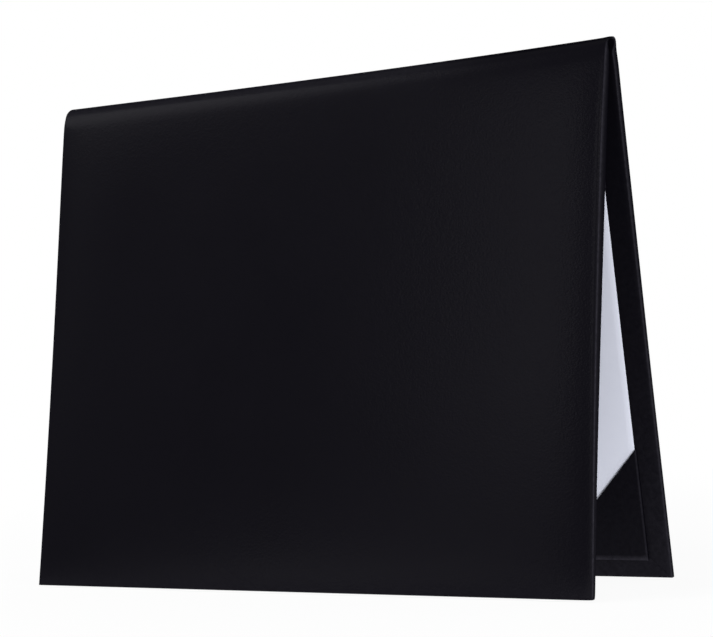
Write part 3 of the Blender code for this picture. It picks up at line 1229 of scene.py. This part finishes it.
def floor_finish():
    """Lit near the cover, white further out, and glowing for everything but the eye."""
    material, finish = new_finish("pale_floor")
    away = finish.add("ShaderNodeVectorMath", {"operation": "LENGTH"}, {0: finish.where()})
    far = finish.add("ShaderNodeMapRange", {"interpolation_type": "SMOOTHSTEP"}, {
        "Value": away.output("Value"), "From Min": FLOOR_NEAR, "From Max": FLOOR_FAR,
        "To Min": 1 - FLOOR_SHADE, "To Max": 1.0})
    lit = finish.add("ShaderNodeBsdfDiffuse", {}, {"Color": FLOOR_GREY})
    white = finish.add("ShaderNodeEmission", {}, {"Color": WHITE, "Strength": 1.0})
    seen = seen_directly(finish)
    share = seen * far + FLOOR_GLOW * (1 - seen)
    shown = finish.add("ShaderNodeMixShader", {}, {0: share, 1: lit, 2: white})
    finish.add("ShaderNodeOutputMaterial", {}, {"Surface": shown})
    return material


def make_floor():
    """The table top, as one wide face."""
    form = bmesh.new()
    corners = ((-1, -1), (1, -1), (1, 1), (-1, 1))
    form.faces.new(add_row(form, [(x * HALF_FLOOR, y * HALF_FLOOR, 0) for x, y in corners]))
    shape = bpy.data.meshes.new("floor")
    form.to_mesh(shape)
    form.free()
    floor = bpy.data.objects.new("floor", shape)
    bpy.context.scene.collection.objects.link(floor)
    shape.materials.append(floor_finish())
    floor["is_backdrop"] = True


make_floor()
print("floor: fades to white from", FLOOR_NEAR, "to", FLOOR_FAR, "m")

# %% Backdrop
SKY_LIGHT = 0.60
SKY_TINT = (0.97, 0.98, 1.0)

world = bpy.data.worlds.new("backdrop")
world.use_nodes = True
bpy.context.scene.world = world
backdrop = Finish(world.node_tree)
sky = backdrop.add("ShaderNodeBackground", {}, {"Color": SKY_TINT, "Strength": SKY_LIGHT})
white = backdrop.add("ShaderNodeBackground", {}, {"Color": WHITE, "Strength": 1.0})
shown = backdrop.add("ShaderNodeMixShader", {}, {0: seen_directly(backdrop), 1: sky, 2: white})
backdrop.add("ShaderNodeOutputWorld", {}, {"Surface": shown})
print("light of the backdrop:", SKY_LIGHT)

# %% [markdown]
# ## Light
#
# Five soft boxes light the cover, as in a product studio. The high one at the left draws
# the broad band under the fold. The tall narrow one in front lays a faint upright sheen
# over the right half of the front cover, and its tilt leans the sheen's upper part to the
# right. The low one adds a sheen along the foot, and a weak one at the left lifts the left
# edge. The one at the right catches the rims and lights the sheet. One large lamp would
# light all this as well, but the bands would run together.

# %% Soft boxes
AIM = Vector((0.0, 0.0, 0.12))


def soft_box(name, stand, width, height, power, tilt=0.0):
    """A lamp in metres and watts that faces the cover, tilted about its own axis in degrees."""
    lamp = bpy.data.lights.new(name, "AREA")
    lamp.shape = "RECTANGLE"
    lamp.size = width
    lamp.size_y = height
    lamp.energy = power
    box = bpy.data.objects.new(name, lamp)
    bpy.context.scene.collection.objects.link(box)
    box.location = stand
    facing = (AIM - Vector(stand)).to_track_quat("-Z", "Y").to_matrix()
    box.rotation_euler = (facing @ Matrix.Rotation(math.radians(tilt), 3, "Z")).to_euler()
    box.visible_camera = False
    print(name + ":", power, "W over", round(width * height, 2), "square metres")


soft_box("high_box", (-0.97, -0.72, 1.06), 0.50, 0.70, 8.0)
soft_box("front_box", (-0.575, -1.34, 0.68), 0.17, 0.74, 4.8, tilt=-5)
soft_box("low_box", (-0.75, -1.31, 0.09), 0.50, 0.16, 2.2)
soft_box("left_box", (-1.15, -0.96, 0.60), 0.30, 0.50, 0.6)
soft_box("right_box", (1.17, -0.68, 0.14), 0.35, 0.40, 12.0)

# %% [markdown]
# ## Colours as written
#
# The view transform is Standard, so a colour on screen is the colour of the surface under
# plain light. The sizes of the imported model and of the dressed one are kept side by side.

# %% View and sizes
bpy.context.scene.view_settings.view_transform = "Standard"
boxes = {"cad": cad_box, "visual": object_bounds()}
for name, (low, high) in boxes.items():
    print(name, "box in mm:", [round(1000 * side, 1) for side in high - low])
